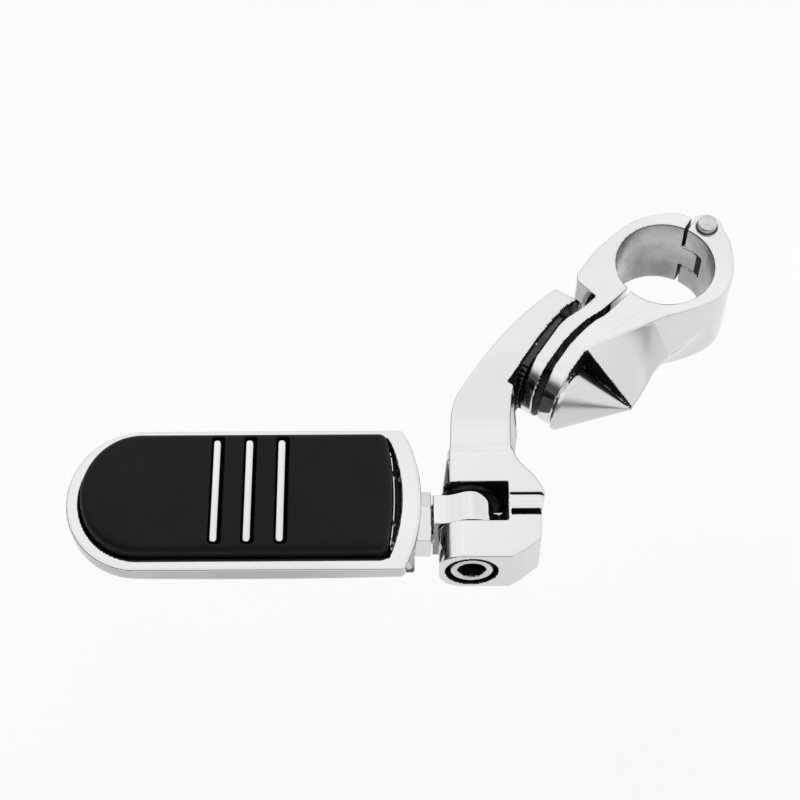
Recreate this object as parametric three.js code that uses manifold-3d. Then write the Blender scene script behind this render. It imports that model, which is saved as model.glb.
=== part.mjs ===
// Motorcycle highway foot peg on a hinged tube clamp: rubber-padded peg, folding knuckle, curved offset arm,
// serrated swivel joint and a two-piece clamp for a 32 mm tube.
// Millimetres, +Z up along the clamped tube. The origin is the centre of the clamp bore at half height.
import * as THREE from "three";
import { ConvexGeometry } from "three/addons/geometries/ConvexGeometry.js";
import { mergeVertices } from "three/addons/utils/BufferGeometryUtils.js";
import Module from "manifold-3d";

const wasm = await Module();
wasm.setup();

// ---------- driving dimensions ----------
const GAP = 0.3; // clearance left between touching pieces
const FAR = 90; // longer than any piece that is cut through

// Tube clamp
const BORE_RADIUS = 15.9; // closes on a 31.75 mm tube
const CLAMP_HALF = 14.45; // half the clamp's height
const PIN = new THREE.Vector2(14.75, 15.05); // hinge pin, seen along the tube
const PIN_RADIUS = 3.175;
const PIN_HALF = 16.4;
const KNUCKLE_RADIUS = 5.2;
const KNUCKLE_SWEEP = THREE.MathUtils.degToRad(128); // how far the outer wall wraps the pin
const LUG_HALF = 4.8;

// Serrated swivel
const SWIVEL = new THREE.Vector3(-35.4, -31.6, 0); // on the swivel axis, at the parting face of the near tail
const SWIVEL_ANGLE = THREE.MathUtils.degToRad(-33); // heading of the swivel axis, seen from above
const TAIL_RADIUS = 16.5;
const NEAR_TAIL = 4.46; // thickness of the near tail
const FAR_TAIL = [2.1, 7.5]; // faces of the far tail, from the parting face
const NOSE_TIP = 27.2;
const ARM_END_RADIUS = 23;
const SERRATION = [-7.4, -4.8]; // serrated ring on the arm
const SERRATION_HALF = 12.4;
const ARM_SEAT = -8.8; // bottom of the counterbore

// Screws: shank radius, then [head radius, head height]
const CLAMP_SCREW = 3.97;
const CLAMP_SCREW_HEAD = [5.95, 7.9];
const CLAMP_SCREW_END = 12.6;
const CLAMP_SCREW_HEX = [6.35, 4.2]; // across flats, depth
const COUNTERBORE_CLEARANCE = 0.7;
const CLEVIS_SCREW = 4.76;
const CLEVIS_SCREW_HEAD = [7.14, 9.0];
const CLEVIS_SCREW_HEX = [7.94, 4.8];
const CLEVIS_SCREW_END = 19.6;
const CLEVIS_BORE_RADIUS = 7.93;
const PAD_SCREW = 2.5;
const PAD_SCREW_HEAD = [4.4, 2.8];
const PAD_SCREW_HEX = [3, 1.6];
const PAD_SCREW_END = 14.6;
const PAD_WASHER = [5.2, 1]; // outer radius, thickness
const LOCK_WASHER = 2; // thickness under the clamp screw

// Folding joint, in millimetres from the fold pivot
const PIVOT = new THREE.Vector3(-64.85, -84.07, 2.85); // the fold axis runs through here along Y
const CLEVIS_FRONT = -21.27;
const SLOT_SILL_LEFT = 5.6; // sill that joins the ears at the bottom of the slot's closed end
const SLOT_SILL_TOP = -8.3;
const CLEVIS_BACK = 15;
const SLOT = [-8.85, 3.97];
const SLOT_RIGHT = 11.1;
const EAR_HALF = 9.75;
const EAR_LEFT = -9.9;
const EAR_ROUND = 7.5;
const REAR_EAR_LEFT = -8.4;
const TONGUE = [-8.5, 1.5];
const TONGUE_LEFT = -11.6;
const TONGUE_ROUND = 6.9; // how far the tongue's rounded end reaches
const EYE_RADIUS = 9.4;
const NECK_HALF = 10; // half height of the neck, about the stud
const SPRING_WASHER_RADIUS = 9.4;
const STUD_Y = -3.1; // centre line of the stud and of the peg
const STUD_Z = -3.2; // the stud sits below the fold axis
const STUD_RADIUS = 6;
const STUD_END = 36;
const NUT = [11.9, 16.7];
const NUT_FLATS = 17.1;
const NUT_ROUND = 9.2; // radius of the nut's chamfered end

// Peg, in millimetres from the fold pivot
const BASE_HALF_WIDTH = 23.9;
const BASE_RIGHT = -15.0;
const BASE_LEFT = -121.0;
const BASE_END_LENGTH = 22.0;
const BASE_END_BULGE = 53;
const RIM_TOP = 13.0;
const RIM_UNDERSIDE = 7.8;
const RIM_WALL = [3.1, 5.9]; // along the sides, at the knuckle end
const FREE_END_WALL = 1.25; // the wall grows by this much round the free end
const OVERHANG_LOW = 7.8; // the rim clears the jam nut's corners
const TRAY_FLOOR = 9.8;
const END_WALL = -17.0; // foot of the end wall
const END_WALL_HALF = 21.1;
const END_WALL_LOW = 5;
const HUB_HALF = 9;
const PAD_TOP = 18.2;
const PAD_EDGE = [2.6, 2.4]; // rounded top edge of the pad: height, width
const PAD_INSET = [3.5, 7.0];
const BAR_X = [-76.2, -66.5, -56.8];
const BAR_WIDTH = 2.7;
const BAR_Y = -2.55;
const BAR_LENGTH = 35.1;
const BAR_TOP = 17.5;
const BAR_SLOT_LENGTH = 37;
const BAR_SLOT = [-1.7, 2.7]; // sides of a slot in the pad, from the middle of its bar
const SCREW_X = [-101, -38];
const SCREW_Y = 15;

// ---------- frames ----------
const UP = new THREE.Vector3(0, 0, 1);
const AXIS = new THREE.Vector3(Math.cos(SWIVEL_ANGLE), Math.sin(SWIVEL_ANGLE), 0);
const ACROSS = new THREE.Vector3(-AXIS.y, AXIS.x, 0);
const vector = (x, y, z) => new THREE.Vector3(x, y, z);
const frameOf = (x, y, z, origin) => new THREE.Matrix4().makeBasis(x, y, z).setPosition(origin);
// Swivel frame: x along the clamp screw towards the nose, y towards the tube, z up.
const JOINT = frameOf(AXIS, ACROSS, UP, SWIVEL);
// Swivel frame turned so that an outline drawn in (across, up) is extruded along the clamp screw.
const JOINT_FACE = frameOf(ACROSS, UP, AXIS, SWIVEL);
const CLEVIS = new THREE.Matrix4().setPosition(PIVOT);
// Fold frame: x along the fold axis, from the screw head inwards.
const FOLD = frameOf(vector(0, 1, 0), vector(-1, 0, 0), UP, PIVOT);
// Stud frame: x along the peg towards its free end.
const STUD = frameOf(vector(-1, 0, 0), vector(0, -1, 0), UP, PIVOT.clone().add(vector(0, STUD_Y, STUD_Z)));
const TUBE = new THREE.Matrix4().makeRotationY(-Math.PI / 2); // turns a bar up along the tube
const PIN_FRAME = new THREE.Matrix4().makeTranslation(PIN.x, PIN.y, 0).multiply(TUBE);
const ARM_PLAN = new THREE.Matrix4().makeTranslation(PIVOT.x, PIVOT.y, 0);
// An outline drawn in (y, z) is extruded along +X.
const ARM_SIDE = frameOf(vector(0, 1, 0), UP, vector(1, 0, 0), vector(PIVOT.x, PIVOT.y, 0));
// An outline drawn in (x, z) is extruded along -Y.
const EAR_SIDE = frameOf(vector(1, 0, 0), UP, vector(0, -1, 0), PIVOT);

// Plan point (along the clamp screw, towards the tube) of the swivel, in the part's own x and y.
function inJoint(n, t) {
  return [SWIVEL.x + n * AXIS.x + t * ACROSS.x, SWIVEL.y + n * AXIS.y + t * ACROSS.y];
}

// ---------- solids ----------
function solid(geometry) {
  const bare = geometry.index ? geometry.toNonIndexed() : geometry.clone();
  bare.deleteAttribute("normal");
  bare.deleteAttribute("uv");
  const merged = mergeVertices(bare, 1e-4);
  return new wasm.Manifold(
    new wasm.Mesh({
      numProp: 3,
      vertProperties: new Float32Array(merged.attributes.position.array),
      triVerts: new Uint32Array(merged.index.array),
    }),
  );
}

const group = new THREE.Group();

function piece(name, body, look) {
  const made = body.getMesh();
  const geometry = new THREE.BufferGeometry();
  geometry.setAttribute("position", new THREE.BufferAttribute(made.vertProperties, 3));
  geometry.setIndex(new THREE.BufferAttribute(made.triVerts, 1));
  geometry.computeVertexNormals();
  const mesh = new THREE.Mesh(geometry, new THREE.MeshStandardMaterial(look));
  mesh.name = name;
  group.add(mesh);
}

// An outline extruded from one height of a frame to another.
function prism(shape, low, high, matrix = new THREE.Matrix4(), curveSegments = 10) {
  const depth = high - low;
  const geometry = new THREE.ExtrudeGeometry(shape, { depth, bevelEnabled: false, curveSegments });
  geometry.translate(0, 0, low);
  geometry.applyMatrix4(matrix);
  return solid(geometry);
}

// A round bar along the local x axis of a frame.
function bar(matrix, start, end, radius, segments = 40, endRadius = radius) {
  const geometry = new THREE.CylinderGeometry(endRadius, radius, end - start, segments);
  geometry.rotateZ(-Math.PI / 2);
  geometry.translate((start + end) / 2, 0, 0);
  geometry.applyMatrix4(matrix);
  return solid(geometry);
}

// A hexagonal bar with two flats level with the frame's xy plane.
function hexBar(matrix, start, end, acrossFlats) {
  const turned = matrix.clone().multiply(new THREE.Matrix4().makeRotationX(Math.PI / 6));
  return bar(turned, start, end, acrossFlats / Math.sqrt(3), 6);
}

function box(matrix, min, max) {
  const geometry = new THREE.BoxGeometry(max[0] - min[0], max[1] - min[1], max[2] - min[2]);
  geometry.translate((min[0] + max[0]) / 2, (min[1] + max[1]) / 2, (min[2] + max[2]) / 2);
  geometry.applyMatrix4(matrix);
  return solid(geometry);
}

const points = (list) => list.map(([x, y]) => new THREE.Vector2(x, y));
const polygon = (list) => new THREE.Shape(points(list));

// Socket head cap screw along the local x axis: head on the -x side of its seat, shank to its end.
function capScrew(matrix, seat, end, shank, [headRadius, headHeight], [acrossFlats, hexDepth]) {
  const top = seat - headHeight;
  const bevel = headRadius / 9;
  return bar(matrix, top + bevel, seat, headRadius, 36)
    .add(bar(matrix, top, top + bevel, headRadius - bevel, 36, headRadius))
    .add(bar(matrix, seat - 0.5, end, shank, 28))
    .subtract(hexBar(matrix, top - 1, top + hexDepth, acrossFlats));
}

function washer(matrix, start, end, outer, inner, segments = 36) {
  const hole = bar(matrix, start - 1, end + 1, inner, segments);
  return bar(matrix, start, end, outer, segments).subtract(hole);
}

// Split lock washer: a ring cut through at one side.
function lockWasher(matrix, start, end, outer, inner) {
  const split = box(matrix, [start - 1, -0.6, 0], [end + 1, 0.6, outer + 1]);
  return washer(matrix, start, end, outer, inner).subtract(split);
}

// ---------- finishes ----------
const chrome = { color: 0xe6e6e8, roughness: 0.06, metalness: 1 };
const steel = { color: 0xa9abae, roughness: 0.25, metalness: 1 };
const darkSteel = { color: 0x3a3b3e, roughness: 0.4, metalness: 1 };
const rubber = { color: 0x17171a, roughness: 0.6, metalness: 0 };

// ---------- tube clamp ----------
const tubeBore = bar(TUBE, -FAR, FAR, BORE_RADIUS, 72);
const pinHole = bar(PIN_FRAME, -FAR, FAR, PIN_RADIUS + GAP, 24);

// Half-plane with a round end about the swivel axis, cut off level with the clamp's flat faces.
function roundEnded(radius, direction) {
  const shape = new THREE.Shape();
  const flat = Math.asin(CLAMP_HALF / radius);
  const middle = direction > 0 ? 0 : Math.PI;
  shape.moveTo(-direction * FAR, direction * CLAMP_HALF);
  shape.lineTo(-direction * FAR, -direction * CLAMP_HALF);
  shape.absarc(0, 0, radius, middle - flat, middle + flat, false);
  return prism(shape, -FAR, FAR, JOINT_FACE, 24);
}
const tailEnd = roundEnded(TAIL_RADIUS, -1);

const nearShape = new THREE.Shape();
nearShape.moveTo(7.0, 13.2);
nearShape.lineTo(10.4, 18.7);
nearShape.splineThru(
  points([[7.1, 20.3], [1.7, 20.8], [-9.4, 17.4], [-20.9, 7.2], [-25.6, 1.1], [-28.6, -3.5]]),
);
nearShape.lineTo(-29.0, -6.3);
nearShape.lineTo(-23.2, -12.6);
nearShape.splineThru(points([[-27.3, -16.6], inJoint(-3.7, 10.4), inJoint(-NEAR_TAIL, 6)]));
nearShape.lineTo(...inJoint(-NEAR_TAIL, -20));
const nearParting = [[0, -20], [0, 2], [1, 8.8], [2.4, 14.3], [4.3, 19.4], [7.6, 34]];
nearParting.forEach(([n, t]) => nearShape.lineTo(...inJoint(n, t)));

// Lug that reaches the pin at half height; grown, it is the room that the other half leaves for it.
function lugBody(grow, height) {
  const outline = [[5.4, 15.4], [9.6, 19.3], [13.5, 20.1], [17.5, 14.5], [14.0, 9.0]].map(([x, y]) => {
    const away = new THREE.Vector2(x, y).sub(PIN).setLength(grow);
    return [x + away.x, y + away.y];
  });
  const round = bar(PIN_FRAME, -height, height, KNUCKLE_RADIUS + grow, 32);
  return prism(polygon(outline), -height, height).add(round);
}
const nearHalf = prism(nearShape, -CLAMP_HALF, CLAMP_HALF, undefined, 5)
  .intersect(tailEnd)
  .add(lugBody(0, LUG_HALF))
  .subtract(tubeBore)
  .subtract(pinHole)
  .subtract(bar(JOINT, -30, -NEAR_TAIL - 0.05, ARM_END_RADIUS + 0.9, 72))
  .subtract(bar(JOINT, -FAR, 8, CLAMP_SCREW + 2 * GAP, 28));
piece("clamp_near_half", nearHalf, chrome);

const farShape = new THREE.Shape();
farShape.moveTo(...inJoint(8.9, 34));
const [tailInner, tailOuter] = FAR_TAIL;
const farParting = [[6.2, 19.4], [4.4, 14.6], [3.1, 9.4], [tailInner, 2], [tailInner, -20]];
farParting.forEach(([n, t]) => farShape.lineTo(...inJoint(n, t)));
farShape.lineTo(...inJoint(tailOuter, -20));
farShape.lineTo(...inJoint(tailOuter, 3));
farShape.lineTo(-1.5, -20.5);
farShape.splineThru(points([[4.5, -18.9], [11, -16.4], [17, -12.6], [21, -6.5], [22.4, 1.5], [22.0, 9.0]]));
farShape.absarc(PIN.x, PIN.y, KNUCKLE_RADIUS, 0, KNUCKLE_SWEEP, false);
farShape.lineTo(8.0, 13.2);

// Oblique pointed nose that holds the blind screw thread, its tip on the swivel axis.
function ring(n, t, radius, count = 28) {
  return Array.from({ length: count }, (_, i) => {
    const a = (i / count) * 2 * Math.PI;
    return vector(n, t + radius * Math.cos(a), radius * Math.sin(a)).applyMatrix4(JOINT);
  });
}
const nose = solid(
  new ConvexGeometry([
    ...ring(7.2, -8.7, 9.2),
    ...ring(7.9, -8.7, 10.0),
    ...ring(9.2, -8.3, 10.0),
    ...ring(NOSE_TIP - 0.9, -0.4, 0.9, 10),
    ...ring(NOSE_TIP, 0, 0.25, 6),
  ]),
);
// Web that runs from the ring wall down to a prow ending at the nose tip.
const crease = inJoint(FAR_TAIL[1] + 0.3, 3);
const web = solid(
  new ConvexGeometry(
    [-1, 1].flatMap((side) => [
      vector(...crease, side * (CLAMP_HALF - 0.1)),
      vector(-1.5, -20.4, side * (CLAMP_HALF - 0.1)),
      vector(-13, -19.5, side * (CLAMP_HALF - 0.1)),
      vector(...inJoint(NOSE_TIP - 0.3, 0.3), side * 0.9),
      vector(-7.6, -38.5, side * 1.2),
    ]),
  ),
);
const farHalf = prism(farShape, -CLAMP_HALF, CLAMP_HALF, undefined, 8)
  .intersect(tailEnd)
  .add(nose)
  .add(web)
  .subtract(tubeBore)
  .subtract(pinHole)
  .subtract(lugBody(2 * GAP, LUG_HALF + GAP))
  .subtract(bar(JOINT, -5, CLAMP_SCREW_END + 0.6, CLAMP_SCREW + GAP, 28));
piece("clamp_far_half", farHalf, chrome);

piece("hinge_pin", bar(PIN_FRAME, -PIN_HALF, PIN_HALF, PIN_RADIUS, 24), steel);

// ---------- arm ----------
const armPlan = new THREE.Shape();
armPlan.moveTo(-6.2, -2);
armPlan.lineTo(20.8, -2);
armPlan.lineTo(21.6, 1.2);
armPlan.splineThru(points([[19.3, 5.6], [14.2, 11.6], [12.7, 17.5]]));
armPlan.splineThru(
  points([[12.9, 30], [15.0, 41.5], [20.6, 52.3], [25.7, 59.9], [31.6, 67.0], [36.4, 70.9]]),
);
armPlan.lineTo(40.2, 76.5);
armPlan.lineTo(33.4, 80.5);
armPlan.splineThru(points([[29.9, 75.9], [20.6, 67.4], [11.7, 57.6], [2.1, 44.3], [-4.6, 32.5], [-6.0, 19]]));

// Side profile in (y, z): level at the clevis, deepening to the clamp's full height towards the swivel.
const EAR_TOP = PIVOT.z + EAR_HALF;
const EAR_LOW = PIVOT.z - EAR_HALF;
const sideProfile = new THREE.Shape();
sideProfile.moveTo(-10, EAR_LOW);
sideProfile.lineTo(13, EAR_LOW);
sideProfile.bezierCurveTo(23, EAR_LOW, 23, -CLAMP_HALF, 34, -CLAMP_HALF);
sideProfile.lineTo(FAR, -CLAMP_HALF);
sideProfile.lineTo(FAR, CLAMP_HALF);
sideProfile.lineTo(56, CLAMP_HALF);
sideProfile.bezierCurveTo(46, CLAMP_HALF, 30, EAR_TOP, 22, EAR_TOP);
sideProfile.lineTo(-10, EAR_TOP);

// Clevis: rounded towards the peg, chamfered at the outer front corner, tapered behind the slot.
const earProfile = new THREE.Shape();
earProfile.moveTo(22, -EAR_HALF);
earProfile.lineTo(22, EAR_HALF);
earProfile.lineTo(EAR_LEFT + EAR_ROUND, EAR_HALF);
earProfile.absarc(EAR_LEFT + EAR_ROUND, EAR_HALF - EAR_ROUND, EAR_ROUND, Math.PI / 2, Math.PI, false);
earProfile.absarc(EAR_LEFT + EAR_ROUND, EAR_ROUND - EAR_HALF, EAR_ROUND, Math.PI, 1.5 * Math.PI, false);
const clevisPlan = polygon([
  [EAR_LEFT - 2, CLEVIS_FRONT],
  [11.8, CLEVIS_FRONT],
  [15.4, -19.0],
  [20.7, -14.7],
  [21.1, -9.7],
  [21.6, 1.2],
  [19.3, 5.6],
  [14.2, 11.6],
  [12.7, CLEVIS_BACK],
  [-6.2, CLEVIS_BACK],
  [REAR_EAR_LEFT, 4.0],
  [REAR_EAR_LEFT, 1.0],
  [EAR_LEFT - 2, 1.0],
]);
const clevis = prism(earProfile, -CLEVIS_BACK, -CLEVIS_FRONT, EAR_SIDE, 8).intersect(
  prism(clevisPlan, -30, 30, ARM_PLAN),
);
const CLEVIS_SEAT = CLEVIS_FRONT + 0.4 + CLEVIS_SCREW_HEAD[1]; // bottom of the screw head's bore
const boss = bar(JOINT, SERRATION[0] - 2, SERRATION[1], TAIL_RADIUS, 56).intersect(
  box(JOINT, [-20, -30, -SERRATION_HALF], [0, 30, SERRATION_HALF]),
);
const slotSill = box(
  CLEVIS,
  [SLOT_SILL_LEFT, SLOT[0] - 0.1, -EAR_HALF],
  [SLOT_RIGHT + 0.1, SLOT[1] + 0.1, SLOT_SILL_TOP],
);
// The end face curves forward towards the outer corner, clear of the clamp as the arm turns.
const END_CUT = [
  [SERRATION[0], -20],
  [20, -20],
  [20, 40],
  [-2.9, 40],
  [-2.9, 20.2],
  [-3.9, 18.4],
  [-5.1, 15.2],
  [-5.9, 10.8],
  [-6.5, 6.6],
  [SERRATION[0], 1.5],
];
const arm = prism(armPlan, -CLAMP_HALF, CLAMP_HALF, ARM_PLAN, 6)
  .intersect(prism(sideProfile, -40, 80, ARM_SIDE, 6))
  .intersect(roundEnded(ARM_END_RADIUS, 1))
  .subtract(prism(polygon(END_CUT), -30, 30, JOINT))
  .add(boss)
  .add(clevis)
  .subtract(box(CLEVIS, [-30, SLOT[0], -30], [SLOT_RIGHT, SLOT[1], 30]))
  .add(slotSill)
  .subtract(box(CLEVIS, [SLOT_RIGHT + 1, -6.9, EAR_HALF - 3.2], [30, -4.9, 30]))
  .subtract(box(CLEVIS, [SLOT_RIGHT + 1, -0.6, EAR_HALF - 0.8], [30, 0.1, 30]))
  .subtract(bar(FOLD, CLEVIS_FRONT - 1, CLEVIS_SCREW_END + 0.9, CLEVIS_SCREW + GAP, 32))
  .subtract(bar(FOLD, CLEVIS_FRONT - 1, CLEVIS_SEAT + GAP, CLEVIS_BORE_RADIUS, 40))
  .subtract(bar(JOINT, -40, 0, CLAMP_SCREW + 2 * GAP, 28))
  .subtract(bar(JOINT, -60, ARM_SEAT, CLAMP_SCREW_HEAD[0] + COUNTERBORE_CLEARANCE, 36));
piece("arm", arm, chrome);

const washerSeat = ARM_SEAT - GAP;
const screwSeat = washerSeat - LOCK_WASHER;
piece(
  "clamp_screw_lock_washer",
  lockWasher(JOINT, screwSeat, washerSeat, CLAMP_SCREW_HEAD[0], CLAMP_SCREW + GAP),
  steel,
);
piece(
  "clamp_screw",
  capScrew(JOINT, screwSeat - GAP, CLAMP_SCREW_END, CLAMP_SCREW, CLAMP_SCREW_HEAD, CLAMP_SCREW_HEX),
  chrome,
);

// ---------- folding joint ----------
piece(
  "clevis_screw",
  capScrew(FOLD, CLEVIS_SEAT, CLEVIS_SCREW_END, CLEVIS_SCREW, CLEVIS_SCREW_HEAD, CLEVIS_SCREW_HEX),
  steel,
);
piece(
  "spring_washer",
  washer(FOLD, TONGUE[1] + GAP, SLOT[1] - GAP, SPRING_WASHER_RADIUS, CLEVIS_SCREW + GAP),
  darkSteel,
);

const shoulder = 5.6; // where the tongue's round begins
const tonguePlan = new THREE.Shape();
tonguePlan.moveTo(TONGUE_LEFT, TONGUE[0]);
tonguePlan.lineTo(TONGUE_ROUND, TONGUE[0]);
tonguePlan.lineTo(TONGUE_ROUND, -shoulder);
tonguePlan.absellipse(0, -shoulder, TONGUE_ROUND, TONGUE[1] + shoulder, 0, Math.PI / 2, false);
tonguePlan.lineTo(TONGUE_LEFT, TONGUE[1]);
// Side view: round eye about the fold axis, running into a taller neck about the stud.
const neckTop = STUD_Z + NECK_HALF;
const neckLow = STUD_Z - NECK_HALF;
const tongueSide = new THREE.Shape();
tongueSide.moveTo(TONGUE_LEFT, neckLow);
tongueSide.lineTo(-8.6, neckLow);
tongueSide.bezierCurveTo(-6.4, neckLow, -4.6, -EYE_RADIUS, 0, -EYE_RADIUS);
tongueSide.absarc(0, 0, EYE_RADIUS, -Math.PI / 2, Math.PI / 2, false);
tongueSide.bezierCurveTo(-3.4, EYE_RADIUS, -5.6, neckTop, -8.2, neckTop);
tongueSide.lineTo(TONGUE_LEFT, neckTop);
const knuckle = prism(tonguePlan, -20, 20, CLEVIS, 8)
  .intersect(prism(tongueSide, -20, 40, EAR_SIDE, 8))
  .subtract(bar(FOLD, -30, 30, CLEVIS_SCREW + GAP, 32))
  .add(bar(STUD, -TONGUE_LEFT - 0.4, STUD_END, STUD_RADIUS, 32));
piece("knuckle", knuckle, chrome);

// One corner of the nut points up; its end towards the tongue is chamfered.
const nutFrame = STUD.clone().multiply(new THREE.Matrix4().makeRotationX(Math.PI / 6));
const chamfer = bar(STUD, NUT[0], NUT[0] + 2.5, NUT_ROUND, 36, NUT_ROUND + 4);
const nut = hexBar(nutFrame, NUT[0], NUT[1], NUT_FLATS)
  .intersect(chamfer.add(bar(STUD, NUT[0] + 2, NUT[1], 12, 36)))
  .subtract(bar(STUD, 0, 30, STUD_RADIUS + GAP, 32));
piece("jam_nut", nut, chrome);

// ---------- peg ----------
// Plan outline of the peg, inset all round: bulged end at the knuckle, half-ellipse at the free end.
function pegOutline(inset, endInset = inset) {
  const half = BASE_HALF_WIDTH - inset;
  const angle = Math.asin(half / BASE_END_BULGE);
  const shape = new THREE.Shape();
  const free = BASE_LEFT + BASE_END_LENGTH;
  shape.absarc(BASE_RIGHT - endInset - BASE_END_BULGE, STUD_Y, BASE_END_BULGE, -angle, angle, false);
  const reach = BASE_END_LENGTH - FREE_END_WALL * inset;
  shape.absellipse(free, STUD_Y, reach, half, Math.PI / 2, 1.5 * Math.PI, false);
  return shape;
}

// Cast rib with rounded ends that shows as a bright bar through the pad.
function rib(x) {
  const shape = new THREE.Shape();
  const half = BAR_WIDTH / 2;
  const straight = BAR_LENGTH / 2 - half;
  shape.absarc(x, BAR_Y + straight, half, 0, Math.PI, false);
  shape.absarc(x, BAR_Y - straight, half, Math.PI, 2 * Math.PI, false);
  return prism(shape, TRAY_FLOOR - 0.5, BAR_TOP, CLEVIS, 6);
}

function slotFor(x) {
  return box(
    CLEVIS,
    [x + BAR_SLOT[0], BAR_Y - BAR_SLOT_LENGTH / 2, -30],
    [x + BAR_SLOT[1], BAR_Y + BAR_SLOT_LENGTH / 2, 60],
  );
}

// Pad with a rounded top edge, flat underneath.
function padBody() {
  const [edgeHeight, edgeWidth] = PAD_EDGE;
  const floor = TRAY_FLOOR + GAP;
  const outline = pegOutline(PAD_INSET[0] + edgeWidth, PAD_INSET[1] + edgeHeight);
  const geometry = new THREE.ExtrudeGeometry(outline, {
    depth: PAD_TOP - edgeHeight - floor,
    bevelThickness: edgeHeight,
    bevelSize: edgeWidth,
    bevelSegments: 3,
    curveSegments: 20,
  });
  geometry.translate(0, 0, floor);
  geometry.applyMatrix4(CLEVIS);
  return solid(geometry).intersect(box(CLEVIS, [-200, -60, floor], [50, 60, 50]));
}

// End wall: curved like the rim at the top, straight at its foot.
const wallEdge = Array.from({ length: 15 }, (_, i) => {
  const a = ((i - 7) / 7) * Math.asin(END_WALL_HALF / BASE_END_BULGE);
  const x = BASE_RIGHT - BASE_END_BULGE * (1 - Math.cos(a));
  return vector(x, STUD_Y + BASE_END_BULGE * Math.sin(a), RIM_TOP - 0.3);
});
const wallFoot = [-END_WALL_HALF, END_WALL_HALF].flatMap((y) => [
  vector(END_WALL, STUD_Y + y, END_WALL_LOW),
  vector(END_WALL - 6, STUD_Y + y, END_WALL_LOW),
  vector(END_WALL - 9, STUD_Y + y, RIM_TOP - 0.3),
]);
const endWall = solid(new ConvexGeometry([...wallEdge, ...wallFoot]).applyMatrix4(CLEVIS));

const hubLow = STUD_Z - HUB_HALF;
const hubProfile = new THREE.Shape();
hubProfile.moveTo(END_WALL, hubLow);
hubProfile.lineTo(END_WALL, RIM_UNDERSIDE + 1);
hubProfile.lineTo(-92, RIM_UNDERSIDE + 1);
hubProfile.bezierCurveTo(-70, 4, -52, hubLow, -42, hubLow);
let base = prism(pegOutline(0), RIM_UNDERSIDE, RIM_TOP, CLEVIS, 20)
  .add(endWall)
  .add(prism(hubProfile, -STUD_Y - HUB_HALF, -STUD_Y + HUB_HALF, EAR_SIDE, 8))
  .subtract(prism(pegOutline(...RIM_WALL), TRAY_FLOOR, 40, CLEVIS, 20))
  .subtract(box(CLEVIS, [END_WALL, -60, -30], [0, 60, OVERHANG_LOW]));
let pad = padBody();
BAR_X.forEach((x) => {
  base = base.add(rib(x));
  pad = pad.subtract(slotFor(x));
});
base = base.subtract(bar(STUD, 10, STUD_END + 2, STUD_RADIUS + GAP, 32));

const spots = SCREW_X.flatMap((x) => [-1, 1].map((side) => [x, STUD_Y + side * SCREW_Y]));
spots.forEach(([x, y], i) => {
  // Frame at one pad screw, x upwards.
  const frame = new THREE.Matrix4().makeTranslation(PIVOT.x + x, PIVOT.y + y, PIVOT.z).multiply(TUBE);
  const washerTop = RIM_UNDERSIDE - GAP;
  const washerLow = washerTop - PAD_WASHER[1];
  base = base.subtract(bar(frame, -30, 30, PAD_SCREW + GAP, 20));
  pad = pad.subtract(bar(frame, -30, PAD_SCREW_END + 0.4, PAD_SCREW + GAP, 20));
  piece(
    `pad_washer_${i + 1}`,
    washer(frame, washerLow, washerTop, PAD_WASHER[0], PAD_SCREW + GAP, 24),
    steel,
  );
  piece(
    `pad_screw_${i + 1}`,
    capScrew(frame, washerLow - GAP, PAD_SCREW_END, PAD_SCREW, PAD_SCREW_HEAD, PAD_SCREW_HEX),
    steel,
  );
});
piece("peg_base", base, chrome);
piece("rubber_pad", pad, rubber);

export default group;
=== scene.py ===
import math

import bpy
import numpy as np
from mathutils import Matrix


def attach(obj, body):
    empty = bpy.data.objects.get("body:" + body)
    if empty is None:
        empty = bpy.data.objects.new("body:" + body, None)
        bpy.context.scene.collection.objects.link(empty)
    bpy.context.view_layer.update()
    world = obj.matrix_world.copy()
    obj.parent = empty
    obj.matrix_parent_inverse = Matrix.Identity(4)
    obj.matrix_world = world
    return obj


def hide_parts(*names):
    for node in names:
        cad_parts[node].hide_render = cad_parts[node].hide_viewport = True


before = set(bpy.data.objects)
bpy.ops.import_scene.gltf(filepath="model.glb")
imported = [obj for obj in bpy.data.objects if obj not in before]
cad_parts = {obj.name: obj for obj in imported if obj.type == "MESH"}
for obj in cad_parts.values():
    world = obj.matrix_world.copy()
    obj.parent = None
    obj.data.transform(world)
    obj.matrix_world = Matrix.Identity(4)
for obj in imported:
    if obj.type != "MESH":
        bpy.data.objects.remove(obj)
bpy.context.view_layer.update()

MM = 0.001

# ---------------------------------------------------------------- dimensions, in millimetres
GAP = 0.3  # clearance between neighbours

# Tube clamp, centred on its bore, which stands along z.
BORE_RADIUS = 15.9
CLAMP_HALF = 14.45  # half its height
PIN = (14.75, 15.05)
PIN_RADIUS = 3.175
PIN_HALF = 16.4
PIN_HOLE = PIN_RADIUS + 0.15
PIN_EYE = 5.2
LUG_HALF = 4.8

# Swivel joint: n runs along the clamp screw towards the nose, t across it towards the tube.
SWIVEL = np.array([-35.4, -31.6, 0.0])
SWIVEL_ANGLE = math.radians(-33)
TAIL_RADIUS = 16.5
NEAR_TAIL = 4.46
FAR_TAIL = (2.1, 7.5)
NOSE_TIP = 27.2
NOSE_BASE = (8.0, -8.1, 11.1)  # its n, its t and its radius
THREAD_HOLE = 4.3
THREAD_HOLE_END = 13.2
ARM_END_RADIUS = 23.0
SERRATION = (-7.4, -4.8)  # root and crest of the serrated ring
SERRATION_HALF = 12.4
TEETH = 60
TOOTH_DEPTH = 0.35
WALL_DRAFT = 0.10
ARM_SEAT = -8.8
COUNTERBORE = 6.65
CLAMP_SCREW_HOLE = 4.6

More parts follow.
